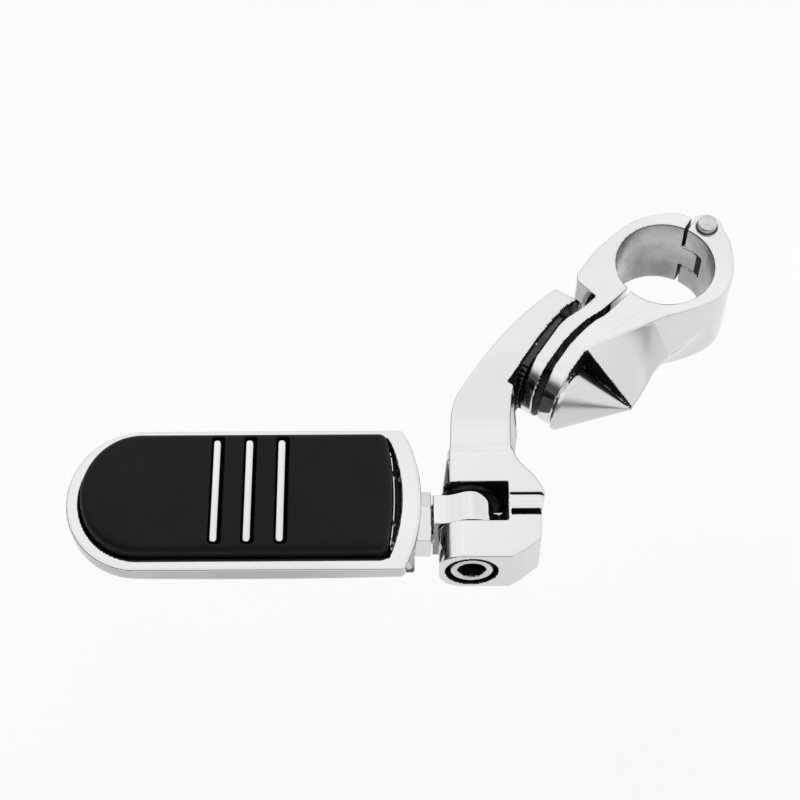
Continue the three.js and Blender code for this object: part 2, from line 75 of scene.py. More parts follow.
# Clevis, centred on the fold screw, which runs along y.
PIVOT = np.array([-64.85, -84.07, 2.85])
CLEVIS_FRONT = -21.27
CLEVIS_BACK = 15
CLEVIS_BORE = 7.93
CLEVIS_BORE_DEPTH = 9.7
FOLD_HOLE = 5.06
FOLD_HOLE_END = 20.5
SLOT = (-8.85, 3.97)
SLOT_RIGHT = 11.1
SLOT_SILL_LEFT = 5.6
SLOT_SILL_TOP = -8.3
EAR_HALF = 9.75
EAR_LEFT = -9.9
EAR_ROUND = 7.5
REAR_EAR_LEFT = -8.4
WIDE_GROOVE = (-6.9, -4.9)
WIDE_GROOVE_DEPTH = 3.2
NARROW_GROOVE = (-0.6, 0.1)
NARROW_GROOVE_DEPTH = 0.8

# Folding knuckle and jam nut.
TONGUE = (-8.5, 1.5)
TONGUE_LEFT = -11.6
TONGUE_ROUND = 6.9
SHOULDER = 5.6  # where the tongue's round begins
EYE_RADIUS = 9.4
NECK_HALF = 10.0
STUD_Y = -3.1
STUD_Z = -3.2
STUD_RADIUS = 6.0
STUD_END = 36.0
NUT = (11.9, 16.7)
NUT_FLATS = 17.1

# Peg, measured from the fold axis.
BASE_HALF_WIDTH = 23.9
BASE_RIGHT = -15.0
BASE_LEFT = -121.0
BASE_END_LENGTH = 22.0
BASE_END_BULGE = 53.0
RIM_TOP = 13.0
RIM_UNDERSIDE = 7.8
TRAY_FLOOR = 9.8
END_WALL = -17.0
END_WALL_HALF = 21.1
HUB_HALF = 9.0
CORNER = 2.0
PAD_CORNER = 2.6
PAD_TOP = 18.2
BAR_X = (-76.2, -66.5, -56.8)
BAR_WIDTH = 2.7
BAR_Y = -2.55
BAR_LENGTH = 35.1
BAR_TOP = 17.5
BAR_OPENING = (-1.65, 2.3)  # the pad's opening, from a bar's middle
BAR_OPENING_HALF = 18.2
PAD_SCREW_HOLE = 2.8
PAD_SCREW_HOLE_TOP = 15
PAD_SCREWS = [(x, y) for x in (-101, -38) for y in (-15, 15)]

# Cap screws: end, shank radius, head radius, head height, hexagon across its flats, its depth.
CLAMP_SCREW = (12.6, 3.97, 5.95, 7.9, 6.35, 4.2)
CLEVIS_SCREW = (19.6, 4.76, 7.14, 9.0, 7.94, 4.8)
PAD_SCREW = (14.6, 2.5, 4.4, 2.8, 3.0, 1.6)
CLAMP_SCREW_SEAT = ARM_SEAT - 2.6
CLEVIS_SCREW_SEAT = CLEVIS_FRONT + 9.4
PAD_SCREW_SEAT = 6.2
LOCK_WASHER = (ARM_SEAT - 2.3, ARM_SEAT - GAP)
LOCK_WASHER_HOLE = 4.27
SPRING_WASHER = (1.8, 3.67)
PAD_WASHER = (6.5, 7.5)
PAD_WASHER_RADIUS = 5.2

# ---------------------------------------------------------------- outlines
AXIS = np.array([math.cos(SWIVEL_ANGLE), math.sin(SWIVEL_ANGLE), 0.0])
ACROSS = np.array([-AXIS[1], AXIS[0], 0.0])


def in_joint(n, t):
    """Plan position of a point of the swivel joint."""
    p = SWIVEL + n * AXIS + t * ACROSS
    return (p[0], p[1])


def spline(points, steps=10):
    """Points along a smooth curve through the given ones, its first point left out."""
    out = []
    last = len(points) - 1
    for i in range(last):
        p0, p1, p2, p3 = (np.array(points[min(max(k, 0), last)], float) for k in (i - 1, i, i + 1, i + 2))
        for s in range(1, steps + 1):
            t = s / steps
            v0, v1 = (p2 - p0) / 2, (p3 - p1) / 2
            p = (2 * p1 - 2 * p2 + v0 + v1) * t**3 + (-3 * p1 + 3 * p2 - 2 * v0 - v1) * t**2 + v0 * t + p1
            out.append(p)
    return out


def bezier(a, b, c, d, steps=14):
    """Points along a cubic curve from a to d, its first point left out."""
    a, b, c, d = (np.array(p, float) for p in (a, b, c, d))
    out = []
    for s in range(1, steps + 1):
        t = s / steps
        out.append(tuple((1 - t) ** 3 * a + 3 * t * (1 - t) ** 2 * b + 3 * t * t * (1 - t) * c + t**3 * d))
    return out


def arc(cx, cy, rx, start, end, steps=24, ry=None):
    ry = rx if ry is None else ry
    angles = [start + (end - start) * s / steps for s in range(steps + 1)]
    return [(cx + rx * math.cos(a), cy + ry * math.sin(a)) for a in angles]


# ---------------------------------------------------------------- signed distances
# The last argument of a combination is the radius of the edge that it makes. Where a surface slants, its
# distance is multiplied by a factor under 1, so that it isn't overstated.
def polygon_distance(x, y, corners):
    """Signed distance to a closed polygon; a corner's coordinates are numbers, or one value per point."""
    best = np.full(x.shape, 1e12)
    inside = np.zeros(x.shape, bool)
    for (ax, ay), (bx, by) in zip(corners, corners[1:] + corners[:1]):
        ex, ey = bx - ax, by - ay
        px, py = x - ax, y - ay
        h = np.clip((px * ex + py * ey) / np.maximum(ex * ex + ey * ey, 1e-9), 0, 1)
        dx, dy = px - ex * h, py - ey * h
        np.minimum(best, dx * dx + dy * dy, out=best)
        crosses = (y >= ay) != (y >= by)
        inside ^= crosses & ((ex * py > ey * px) == (by > ay))
    return np.where(inside, -1, 1) * np.sqrt(best)


def outline(points):
    """Signed distance to a closed outline, as a function of two arrays of coordinates."""
    v = np.array(points, float)
    corners = list(v[np.linalg.norm(v - np.roll(v, 1, 0), axis=1) > 1e-6])

    def distance(x, y):
        return polygon_distance(x, y, corners)

    return distance


def both(a, b, r=0.0):
    """Intersection, its convex edge rounded to radius r."""
    if r <= 0:
        return np.maximum(a, b)
    return np.minimum(-r, np.maximum(a, b)) + np.hypot(np.maximum(a + r, 0), np.maximum(b + r, 0))


def either(a, b, r=0.0):
    """Union, its inner corner filleted to radius r."""
    if r <= 0:
        return np.minimum(a, b)
    return np.maximum(r, np.minimum(a, b)) - np.hypot(np.maximum(r - a, 0), np.maximum(r - b, 0))


def less(a, b, r=0.0):
    """a with b cut out of it, the edge rounded to radius r."""
    return both(a, -b, r)


def slab(x, low, high):
    return np.abs(x - (low + high) / 2) - (high - low) / 2


def rod(along, u, v, low, high, radius, r=0.0):
    return both(np.hypot(u, v) - radius, slab(along, low, high), r)


def hexagon(u, v, flats):
    """Distance to a hexagon with two flats level with u."""
    c, s = math.cos(math.pi / 3), math.sin(math.pi / 3)
    d = np.maximum(np.abs(v), np.maximum(np.abs(u * s + v * c), np.abs(u * s - v * c)))
    return d - flats / 2


def joint_axes(p):
    q = p - SWIVEL
    return q @ AXIS, q @ ACROSS, q[:, 2]


def pivot_axes(p):
    q = p - PIVOT
    return q[:, 0], q[:, 1], q[:, 2]


def fold_axes(p):
    """Along the fold screw, then the two directions across it."""
    x, y, z = pivot_axes(p)
    return y, x, z


def from_bore(p):
    return np.hypot(p[:, 0], p[:, 1])


def from_pin(p):
    return np.hypot(p[:, 0] - PIN[0], p[:, 1] - PIN[1])


# ---------------------------------------------------------------- surfaces
BLOCK = 6  # grid cells along the side of a block
CHUNK = 400  # blocks worked out at a time
MARGIN = 2.13  # grid cells left free round a shape
SETTLING = 7  # times that the points are moved onto the surface
EVENED = (1, 3)  # the times after which they are also spread evenly


def sample(f, low, cell, n):
    """f on a grid of points, worked out only near the surface."""
    blocks = [int(math.ceil(k / BLOCK)) for k in n]
    half = cell * (BLOCK - 1) / 2
    axes = [low[i] + cell * BLOCK * np.arange(blocks[i]) + half for i in range(3)]
    centres = np.stack(np.meshgrid(*axes, indexing="ij"), -1).reshape(-1, 3)
    far = f(centres)
    near = np.abs(far) < (BLOCK * cell) * 0.9 + cell
    values = np.repeat(np.repeat(np.repeat(far.reshape(blocks), BLOCK, 0), BLOCK, 1), BLOCK, 2)
    local = (np.arange(BLOCK) - (BLOCK - 1) / 2) * cell
    offsets = np.stack(np.meshgrid(local, local, local, indexing="ij"), -1).reshape(1, -1, 3)
    grid = np.argwhere(near.reshape(blocks))
    for start in range(0, len(grid), CHUNK):
        part = grid[start : start + CHUNK]
        middle = centres.reshape(*blocks, 3)[tuple(part.T)][:, None, :]
        got = f((middle + offsets).reshape(-1, 3)).reshape(-1, BLOCK, BLOCK, BLOCK)
        for (i, j, k), cube in zip(part * BLOCK, got):
            values[i : i + BLOCK, j : j + BLOCK, k : k + BLOCK] = cube
    return values[: n[0], : n[1], : n[2]]


def gradient(f, p, step):
    g = np.zeros_like(p)
    for i in range(3):
        d = np.zeros(3)
        d[i] = step
        g[:, i] = (f(p + d) - f(p - d)) / (2 * step)
    return g


def surface(name, f, low, high, cell=0.5, smooth=0.35):
    """Closed mesh of the surface f = 0 between two corners, with its normals taken from f."""
    low = np.array(low, float) - MARGIN * cell
    n = [int(math.ceil((high[i] + MARGIN * cell - low[i]) / cell)) + 1 for i in range(3)]
    inside = sample(f, low, cell, n) < 0
    count = sum(
        inside[i : n[0] - 1 + i, j : n[1] - 1 + j, k : n[2] - 1 + k].astype(np.int8)
        for i in (0, 1) for j in (0, 1) for k in (0, 1)
    )
    active = (count > 0) & (count < 8)
    index = np.full(active.shape, -1)
    index[active] = np.arange(active.sum())
    p = low + (np.argwhere(active) + 0.5) * cell
    centre = p.copy()
    faces = []
    for axis in range(3):
        b, c = (axis + 1) % 3, (axis + 2) % 3
        first = [slice(None)] * 3
        second = [slice(None)] * 3
        first[axis], second[axis] = slice(0, -1), slice(1, None)
        first[b] = second[b] = first[c] = second[c] = slice(1, -1)
        here, there = inside[tuple(first)], inside[tuple(second)]
        edge = np.argwhere(here != there)
        outward = here[tuple(edge.T)]
        edge[:, b] += 1
        edge[:, c] += 1
        corner = []
        for db, dc in ((-1, -1), (0, -1), (0, 0), (-1, 0)):
            at = edge.copy()
            at[:, b] += db
            at[:, c] += dc
            corner.append(index[tuple(at.T)])
        quad = np.stack(corner, 1)
        quad[~outward] = quad[~outward][:, ::-1]
        faces.append(quad)
    faces = np.concatenate(faces)
    for turn in range(SETTLING):
        g = gradient(f, p, 0.05)
        size = np.maximum((g * g).sum(1), 0.05)
        p -= (f(p) / size)[:, None] * g
        p = np.clip(p, centre - cell, centre + cell)
        if turn in EVENED:
            total = np.zeros_like(p)
            times = np.zeros(len(p))
            mean = p[faces].mean(1)
            for k in range(4):
                np.add.at(total, faces[:, k], mean)
                np.add.at(times, faces[:, k], 1)
            p = 0.4 * p + 0.6 * total / np.maximum(times, 1)[:, None]
    normal = gradient(f, p, smooth)
    normal /= np.maximum(np.linalg.norm(normal, axis=1), 1e-6)[:, None]
    return build(name, p, faces, normal)


def build(name, points, faces, normal=None):
    """Mesh object from points in millimetres, linked to the scene."""
    mesh = bpy.data.meshes.new(name)
    faces = np.asarray(faces)
    mesh.vertices.add(len(points))
    mesh.vertices.foreach_set("co", (np.asarray(points) * MM).astype(np.float32).ravel())
    sides = faces.shape[1]
    mesh.loops.add(faces.size)
    mesh.loops.foreach_set("vertex_index", faces.astype(np.int32).ravel())
    mesh.polygons.add(len(faces))
    mesh.polygons.foreach_set("loop_start", np.arange(0, faces.size, sides, dtype=np.int32))
    mesh.update(calc_edges=True)
    mesh.validate()
    mesh.polygons.foreach_set("use_smooth", np.ones(len(mesh.polygons), bool))
    if normal is not None:
        mesh.normals_split_custom_set_from_vertices(normal.astype(np.float32))
    obj = bpy.data.objects.new(name, mesh)
    bpy.context.scene.collection.objects.link(obj)
    return obj


def paint(obj, materials, choose=None):
    """Gives an object its materials; choose says which one each face centre gets."""
    for m in materials:
        obj.data.materials.append(m)
    if choose is None:
        return
    mesh = obj.data
    centre = np.zeros(len(mesh.polygons) * 3, np.float32)
    mesh.polygons.foreach_get("center", centre)
    normal = np.zeros(len(mesh.polygons) * 3, np.float32)
    mesh.polygons.foreach_get("normal", normal)
    chosen = choose(centre.reshape(-1, 3) / MM, normal.reshape(-1, 3))
    mesh.polygons.foreach_set("material_index", chosen.astype(np.int32))


def place(obj, body, slot, *nodes):
    """Rides the object on its body and hides the CAD nodes it replaces; slot is not used."""
    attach(obj, body)
    if nodes:
        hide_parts(*nodes)


# ---------------------------------------------------------------- materials
def material(name):
    m = bpy.data.materials.new(name)
    m.use_nodes = True
    shader = m.node_tree.nodes["Principled BSDF"]
    return m, m.node_tree, shader


def node(tree, kind, **values):
    n = tree.nodes.new(kind)
    for key, value in values.items():
        if hasattr(n, key):
            setattr(n, key, value)
        else:
            n.inputs[key.replace("_", " ")].default_value = value
    return n


def noise(tree, scale, detail=3.0, stretch=None):
    where = node(tree, "ShaderNodeTexCoord")
    socket = where.outputs["Object"]
    if stretch:
        mapping = node(tree, "ShaderNodeMapping")
        mapping.inputs["Scale"].default_value = stretch
        tree.links.new(socket, mapping.inputs["Vector"])
        socket = mapping.outputs["Vector"]
    n = node(tree, "ShaderNodeTexNoise")
    n.inputs["Scale"].default_value = scale
    n.inputs["Detail"].default_value = detail
    tree.links.new(socket, n.inputs["Vector"])
    return n.outputs["Fac"]


def ramp(tree, source, low, high, start=0.35, end=0.65):
    r = node(tree, "ShaderNodeMapRange")
    r.inputs["From Min"].default_value = start
    r.inputs["From Max"].default_value = end
    r.inputs["To Min"].default_value = low
    r.inputs["To Max"].default_value = high
    tree.links.new(source, r.inputs["Value"])
    return r.outputs["Result"]


def colour_between(tree, source, low, high, start=0.35, end=0.65):
    r = node(tree, "ShaderNodeValToRGB")
    r.color_ramp.elements[0].position = start
    r.color_ramp.elements[1].position = end
    r.color_ramp.elements[0].color = (*low, 1)
    r.color_ramp.elements[1].color = (*high, 1)
    tree.links.new(source, r.inputs["Fac"])
    return r.outputs["Color"]


def bump(tree, shader, source, strength, distance, below=None):
    """Bump on the shader, over another bump if one is given; returns its normal."""
    b = node(tree, "ShaderNodeBump")
    if below:
        tree.links.new(below, b.inputs["Normal"])
    b.inputs["Strength"].default_value = strength
    b.inputs["Distance"].default_value = distance
    tree.links.new(source, b.inputs["Height"])
    tree.links.new(b.outputs["Normal"], shader.inputs["Normal"])
    return b.outputs["Normal"]


def metal(
    name, dark, light, rough, scale=40, grain=(900, 2), depth=0.00002, strength=0.2,
    polish=0.0, metallic=1.0, specular=0.5,
):
    """Smears in colour and roughness, a fine texture and, where it is polished by hand, broad waves."""
    m, tree, shader = material(name)
    shader.inputs["Metallic"].default_value = metallic
    shader.inputs["Specular IOR Level"].default_value = specular
    smear = noise(tree, scale, 4)
    tree.links.new(colour_between(tree, smear, dark, light), shader.inputs["Base Color"])
    tree.links.new(ramp(tree, noise(tree, scale * 2.3, 5), *rough), shader.inputs["Roughness"])
    wave = bump(tree, shader, noise(tree, 26, 1, (1.6, 0.5, 1.0)), 1.0, polish) if polish else None
    bump(tree, shader, noise(tree, *grain), strength, depth, wave)
    return m


CHROME = metal(
    "chrome_plate", (0.655, 0.66, 0.67), (0.71, 0.713, 0.722), (0.02, 0.06), 30,
    grain=(70, 2), depth=0.00004, strength=0.35, polish=0.0002,
)
SATIN = metal(
    "satin_chrome_plate", (0.60, 0.604, 0.614), (0.65, 0.653, 0.662), (0.22, 0.30), 30,
    grain=(700, 3), depth=0.00001,
)
SHADE = metal("chrome_in_shade", (0.04, 0.04, 0.044), (0.10, 0.10, 0.105), (0.06, 0.16), 60)
# Painted shade: darker chrome for the peg's outer wall.
SHADED_WALL = metal(
    "chrome_outer_wall_in_shade", (0.42, 0.422, 0.43), (0.56, 0.562, 0.57), (0.03, 0.08), 30,
    grain=(70, 2), depth=0.00004, strength=0.35,
)
# Painted half shade: darker chrome for the front side of the neck.
HALF_SHADE = metal("chrome_half_shade", (0.14, 0.14, 0.146), (0.34, 0.34, 0.35), (0.05, 0.14), 45)
# Painted shade: near black for gaps, slots, sockets and recesses.
DEEP_SHADE = metal(
    "unlit_recess", (0.003, 0.003, 0.0034), (0.010, 0.010, 0.011), (0.3, 0.5), 120,
    metallic=0.0, specular=0.15,
)
BORE = metal(
    "cast_bore", (0.24, 0.24, 0.25), (0.50, 0.50, 0.51), (0.2, 0.36), 60,
    grain=(110, 6, (1, 1, 0.35)), depth=0.0005, strength=0.7,
)
STEEL = metal(
    "bright_steel", (0.46, 0.46, 0.47), (0.62, 0.62, 0.63), (0.12, 0.28), 150,
    grain=(700, 3), depth=0.00006, strength=0.3,
)
BRIGHT = metal(
    "zinc_plated_steel", (0.55, 0.55, 0.56), (0.72, 0.72, 0.73), (0.10, 0.22), 90,
    grain=(500, 3), depth=0.00005, strength=0.3,
)
DARK = metal("black_spring_steel", (0.010, 0.010, 0.011), (0.022, 0.022, 0.024), (0.3, 0.5), 200)


def rubber():
    m, tree, shader = material("satin_black_rubber")
    fine = noise(tree, 900, 6)
    broad = noise(tree, 45, 3)
    colour = colour_between(tree, broad, (0.0035, 0.0034, 0.0046), (0.0062, 0.006, 0.0078))
    tree.links.new(colour, shader.inputs["Base Color"])
    tree.links.new(ramp(tree, fine, 0.42, 0.6), shader.inputs["Roughness"])
    shader.inputs["Specular IOR Level"].default_value = 0.13
    bump(tree, shader, fine, 0.35, 0.00008)
    return m


RUBBER = rubber()

# ---------------------------------------------------------------- tube clamp
NEAR = outline(
    [(7.0, 13.2), (10.4, 18.7)]
    + spline([
        (10.4, 18.7), (7.1, 20.3), (1.7, 20.8), (-9.4, 17.4), (-20.9, 7.2), (-25.6, 1.1), (-28.6, -3.5),
    ])
    + [(-29.0, -6.3), (-23.2, -12.6)]
    + spline([(-23.2, -12.6), (-27.3, -16.6), in_joint(-3.7, 10.4), in_joint(-NEAR_TAIL, 6)])
    + [in_joint(-NEAR_TAIL, -20), in_joint(0, -20), in_joint(0, 2)]
    + spline([in_joint(0, 2), in_joint(1, 8.8), in_joint(2.4, 14.3), in_joint(4.3, 19.4), in_joint(7.6, 34)])
)
LUG = outline([(5.4, 15.4), (9.6, 19.3), (13.5, 20.1), (17.5, 14.5), (14.0, 9.0)])


def tail_end(t, z):
    """Round end of both halves about the swivel axis, open towards the tube."""
    return np.hypot(np.minimum(t, 0), z) - TAIL_RADIUS


def lug(p, grow, height):
    """Hinge lug about the pin, made larger all round by grow."""
    d = np.minimum(LUG(p[:, 0], p[:, 1]) - grow, from_pin(p) - PIN_EYE - grow)
    return both(d, np.abs(p[:, 2]) - height, 0.3)


def near_half(p):
    n, t, z = joint_axes(p)
    d = both(NEAR(p[:, 0], p[:, 1]), np.abs(z) - CLAMP_HALF, 0.55)
    d = both(d, tail_end(t, z), 0.7)
    d = either(d, lug(p, 0, LUG_HALF), 0.4)
    d = less(d, from_bore(p) - BORE_RADIUS, 0.45)
    d = less(d, from_pin(p) - PIN_HOLE, 0.2)
    d = less(d, rod(n, t, z, -30, -NEAR_TAIL - 0.05, ARM_END_RADIUS + 0.9), 0.3)
    return less(d, rod(n, t, z, -90, 8, CLAMP_SCREW_HOLE))


FAR = outline(
    [in_joint(8.9, 34)]
    + spline([
        in_joint(8.9, 34), in_joint(6.2, 19.4), in_joint(4.4, 14.6), in_joint(3.1, 9.4), in_joint(2.1, 2),
    ])
    + [in_joint(2.1, -20), in_joint(7.5, -20), in_joint(7.5, 3), (-1.5, -20.5)]
    + spline([(-1.5, -20.5), (4.5, -18.9), (11, -16.4), (17, -12.6), (21, -6.5), (22.4, 1.5), (22.0, 9.0)])
    + arc(PIN[0], PIN[1], PIN_EYE, 0, math.radians(128))
    + [(8.0, 13.2)]
)


def nose(n, t, z):
    """Slanted cone whose tip is on the swivel axis."""
    n0, t0, r0 = NOSE_BASE
    s = (n - n0) / (NOSE_TIP - n0)
    cone = (np.hypot(t - t0 * (1 - s), z) - r0 * (1 - s)) * 0.82
    return both(cone, n0 - 0.6 - n, 2.0)


CREASE = in_joint(FAR_TAIL[1] + 0.3, 3)
PROW = in_joint(NOSE_TIP - 0.3, 0.3)
# Front edge of the web at full height and at mid height; the surface between them is ruled.
WEB_TOP = np.array([
    CREASE, (-22.0, -30.7), (-15.0, -27.2), (-8.0, -23.6), (-1.5, -20.4), (4.5, -18.6), (11.0, -16.1),
])
WEB_MID = np.array([
    PROW, (-9.9, -41.8), (-7.0, -36.7), (-3.3, -30.4), (1.9, -24.8), (7.6, -19.9), (13.6, -15.1),
])
WEB_BACK = np.array([(10.0, -14.5), (-10.0, -19.5), CREASE])


def web(p):
    """Wall from the ring to the prow beside the nose tip; its outline changes with the height."""
    height = np.abs(p[:, 2])
    reach = np.clip((CLAMP_HALF - 0.1 - height) / (CLAMP_HALF - 1.0), 0, 1)[:, None]
    front = [a * (1 - reach) + b * reach for a, b in zip(WEB_TOP, WEB_MID)]
    back = [np.broadcast_to(a, (len(p), 2)) for a in WEB_BACK]
    corners = [corner.T for corner in [front[0]] + spline(front, 3) + back]
    d = polygon_distance(p[:, 0], p[:, 1], corners) * 0.75
    return both(d, height - CLAMP_HALF + 0.1)


def far_half(p):
    n, t, z = joint_axes(p)
    d = both(FAR(p[:, 0], p[:, 1]), np.abs(z) - CLAMP_HALF, 0.55)
    d = both(d, tail_end(t, z), 0.7)
    d = either(d, web(p), 0.3)
    d = either(d, nose(n, t, z), 0.2)
    d = less(d, from_bore(p) - BORE_RADIUS, 0.45)
    d = less(d, from_pin(p) - PIN_HOLE, 0.6)
    d = less(d, lug(p, 2 * GAP, LUG_HALF + GAP), 0.2)
    return less(d, rod(n, t, z, -5, THREAD_HOLE_END, THREAD_HOLE))


# Which way the pocket's side wall faces, between the crease and the prow.
POCKET_SIDE = np.array([CREASE[1] - PROW[1], PROW[0] - CREASE[0], 0.0])
POCKET_SIDE /= -np.linalg.norm(POCKET_SIDE)


def clamp_finish_and_shade(p, normal):
    """0 for outer chrome, 1 for the bore's wall, 2 for near-black painted shade on faces deep in a gap, 3 for
    the nose and web.
    """
    n, t, z = joint_axes(p)
    side = np.abs(normal[:, 2]) < 0.6
    bore, pin = from_bore(p), from_pin(p)
    wall = (np.abs(bore - BORE_RADIUS) < 0.2) & side
    # Painted shade: the parting gap between the tails, the faces round the hinge eye and the pocket beside
    # the nose.
    parting = (n > -0.3) & (n < 2.6 + 0.012 * np.maximum(t, 0) ** 1.7) & (t < 22) & (bore > BORE_RADIUS + 0.2)
    parting &= np.abs(normal @ AXIS) > 0.5
    hinge = (pin < PIN_EYE + 2.4) & (np.abs(z) < CLAMP_HALF - 0.3) & (pin > PIN_RADIUS + 0.6)
    hinge &= (normal[:, 0] * p[:, 0] + normal[:, 1] * p[:, 1]) < 0.35 * bore
    pocket = ((normal @ AXIS > 0.8) & (n < 9.0)) | (normal @ POCKET_SIDE > 0.8)
    pocket &= side & (n > 7.0) & (t < 3.6) & (t > -8)
    satin = (n > 8.5) & (t < 24) & (np.abs(normal[:, 2]) < 0.97)
    return np.select([wall, (side & (parting | hinge)) | pocket, satin], [1, 2, 3], 0)


for side, half, right in (("near", near_half, 20), ("far", far_half, 24)):
    piece = surface(f"{side}_clamp_half", half, (-50, -54, -CLAMP_HALF), (right, 22, CLAMP_HALF), 0.55)
    paint(piece, [CHROME, BORE, DEEP_SHADE, SATIN], clamp_finish_and_shade)
    place(piece, f"{side}_half", "chrome", f"clamp_{side}_half")


def hinge_pin(p):
    """Plain pin with a shallow centre mark in its top."""
    x, y, z = p[:, 0] - PIN[0], p[:, 1] - PIN[1], p[:, 2]
    d = both(np.hypot(x, y) - PIN_RADIUS, np.abs(z) - PIN_HALF, 0.35)
    return either(less(d, rod(z, x, y, PIN_HALF - 0.25, 20, 0.9), 0.2), d + 0.4)


piece = surface("hinge_pin_turned", hinge_pin, (11, 11, -17), (19, 19, 17), 0.3)
paint(piece, [STEEL])
place(piece, "far_half", "steel", "hinge_pin")


# ---------------------------------------------------------------- screws and washers
def cap_screw(a, u, v, seat, size):
    """Socket head cap screw: a is measured along it, its head on the low side of seat."""
    end, shank, head_radius, head_height, flats, depth = size
    low = seat - head_height
    d = rod(a, u, v, low, seat, head_radius, head_radius / 24)
    d = both(d, (np.hypot(u, v) - head_radius * 0.86 - (a - low)) * 0.7, 0.1)
    d = either(d, rod(a, u, v, seat - 1, end, shank, 0.4), 0.3)
    socket = both(hexagon(u, v, flats), a - low - depth)
    socket = np.minimum(socket, (np.hypot(u, v) - flats / 1.75 + (a - low)) * 0.7)
    return less(d, socket, 0.12)


def clamp_screw(p):
    return cap_screw(*joint_axes(p), CLAMP_SCREW_SEAT, CLAMP_SCREW)


def lock_washer(p):
    n, t, z = joint_axes(p)
    ring = both(np.hypot(t, z) - CLAMP_SCREW[2], slab(n, *LOCK_WASHER), 0.3)
    ring = less(ring, np.hypot(t, z) - LOCK_WASHER_HOLE, 0.2)
    return less(ring, both(np.abs(t + 0.6 * (n - ARM_SEAT)) - 0.5, -z), 0.1)


def clevis_screw(p):
    return cap_screw(*fold_axes(p), CLEVIS_SCREW_SEAT, CLEVIS_SCREW)


def spring_washer(p):
    x, y, z = pivot_axes(p)
    ring = both(np.hypot(x, z) - EYE_RADIUS, slab(y, *SPRING_WASHER), 0.35)
    return less(ring, np.hypot(x, z) - FOLD_HOLE, 0.2)



def head_finish_and_shade(axes, seat, size):
    """0 for the head's face, 1 for near-black painted shade on its flank and in its socket."""
    radius, height = size[2:4]
    low = seat - height

    def choose(p, normal):
        a, u, v = axes(p)
        out = np.hypot(u, v)
        return np.where((out > radius * 0.87) | ((out < radius * 0.66) & (a > low + 0.35)), 1, 0)

    return choose


piece = surface("clamp_cap_screw", clamp_screw, (-60, -43, -6.5), (-22, -14, 6.5), 0.35)
paint(piece, [CHROME, DEEP_SHADE], head_finish_and_shade(joint_axes, CLAMP_SCREW_SEAT, CLAMP_SCREW))
place(piece, "far_half", "chrome", "clamp_screw")
piece = surface("split_lock_washer", lock_washer, (-52, -35, -6.5), (-38, -18, 6.5), 0.25)
paint(piece, [STEEL])
place(piece, "far_half", "steel", "clamp_screw_lock_washer")
piece = surface("fold_cap_screw", clevis_screw, PIVOT + (-7.5, -22, -7.5), PIVOT + (7.5, 20, 7.5), 0.35)
paint(piece, [BRIGHT, DEEP_SHADE], head_finish_and_shade(fold_axes, CLEVIS_SCREW_SEAT, CLEVIS_SCREW))
place(piece, "arm", "steel", "clevis_screw")
piece = surface("fold_spring_washer", spring_washer, PIVOT + (-10, 1.5, -10), PIVOT + (10, 4, 10), 0.3)
paint(piece, [DARK])
place(piece, "arm", "dark_steel", "spring_washer")

# ---------------------------------------------------------------- arm
ARM_PLAN = outline(
    [(-6.2, -2), (20.8, -2), (21.6, 1.2)]
    + spline([
        (21.6, 1.2), (19.3, 5.6), (14.2, 11.6), (12.7, 17.5), (12.9, 30),
        (15.0, 41.5), (20.6, 52.3), (25.7, 59.9), (31.6, 67.0), (36.4, 70.9),
    ])
    + [(40.2, 76.5), (33.4, 80.5)]
    + spline([
        (33.4, 80.5), (29.9, 75.9), (20.6, 67.4), (11.7, 57.6),
        (2.1, 44.3), (-4.6, 32.5), (-6.0, 19), (-6.2, -2),
    ])
)
EAR_TOP = PIVOT[2] + EAR_HALF
EAR_LOW = PIVOT[2] - EAR_HALF
ARM_SIDE = outline(
    [(-10, EAR_LOW), (13, EAR_LOW)]
    + bezier((13, EAR_LOW), (23, EAR_LOW), (23, -CLAMP_HALF), (34, -CLAMP_HALF))
    + [(90, -CLAMP_HALF), (90, CLAMP_HALF), (56, CLAMP_HALF)]
    + bezier((56, CLAMP_HALF), (46, CLAMP_HALF), (30, EAR_TOP), (22, EAR_TOP))
    + [(-10, EAR_TOP)]
)
CLEVIS_PLAN = outline([
    (EAR_LEFT - 2, CLEVIS_FRONT), (11.8, CLEVIS_FRONT), (15.4, -19.0), (20.7, -14.7), (21.1, -9.7),
    (21.6, 1.2), (19.3, 5.6), (14.2, 11.6), (12.7, CLEVIS_BACK), (-6.2, CLEVIS_BACK),
    (REAR_EAR_LEFT, 4.0), (REAR_EAR_LEFT, 1.0), (EAR_LEFT - 2, 1.0),
])


def clevis(x, y, z):
    """Two ears with a round end towards the peg."""
    profile = both(both(np.abs(z) - EAR_HALF, EAR_LEFT - x, EAR_ROUND), x - 22.5)
    return both(profile, both(CLEVIS_PLAN(x, y), y - CLEVIS_BACK), 0.6)


# The arm's end face curves forward towards the outer corner: t, then n.
ARM_END = (
    (0.0, 3.0, 6.6, 10.8, 15.2, 18.4, 20.2, 24.0),
    (SERRATION[0], -7.0, -6.5, -5.9, -5.1, -3.9, -2.95, -2.6),
)


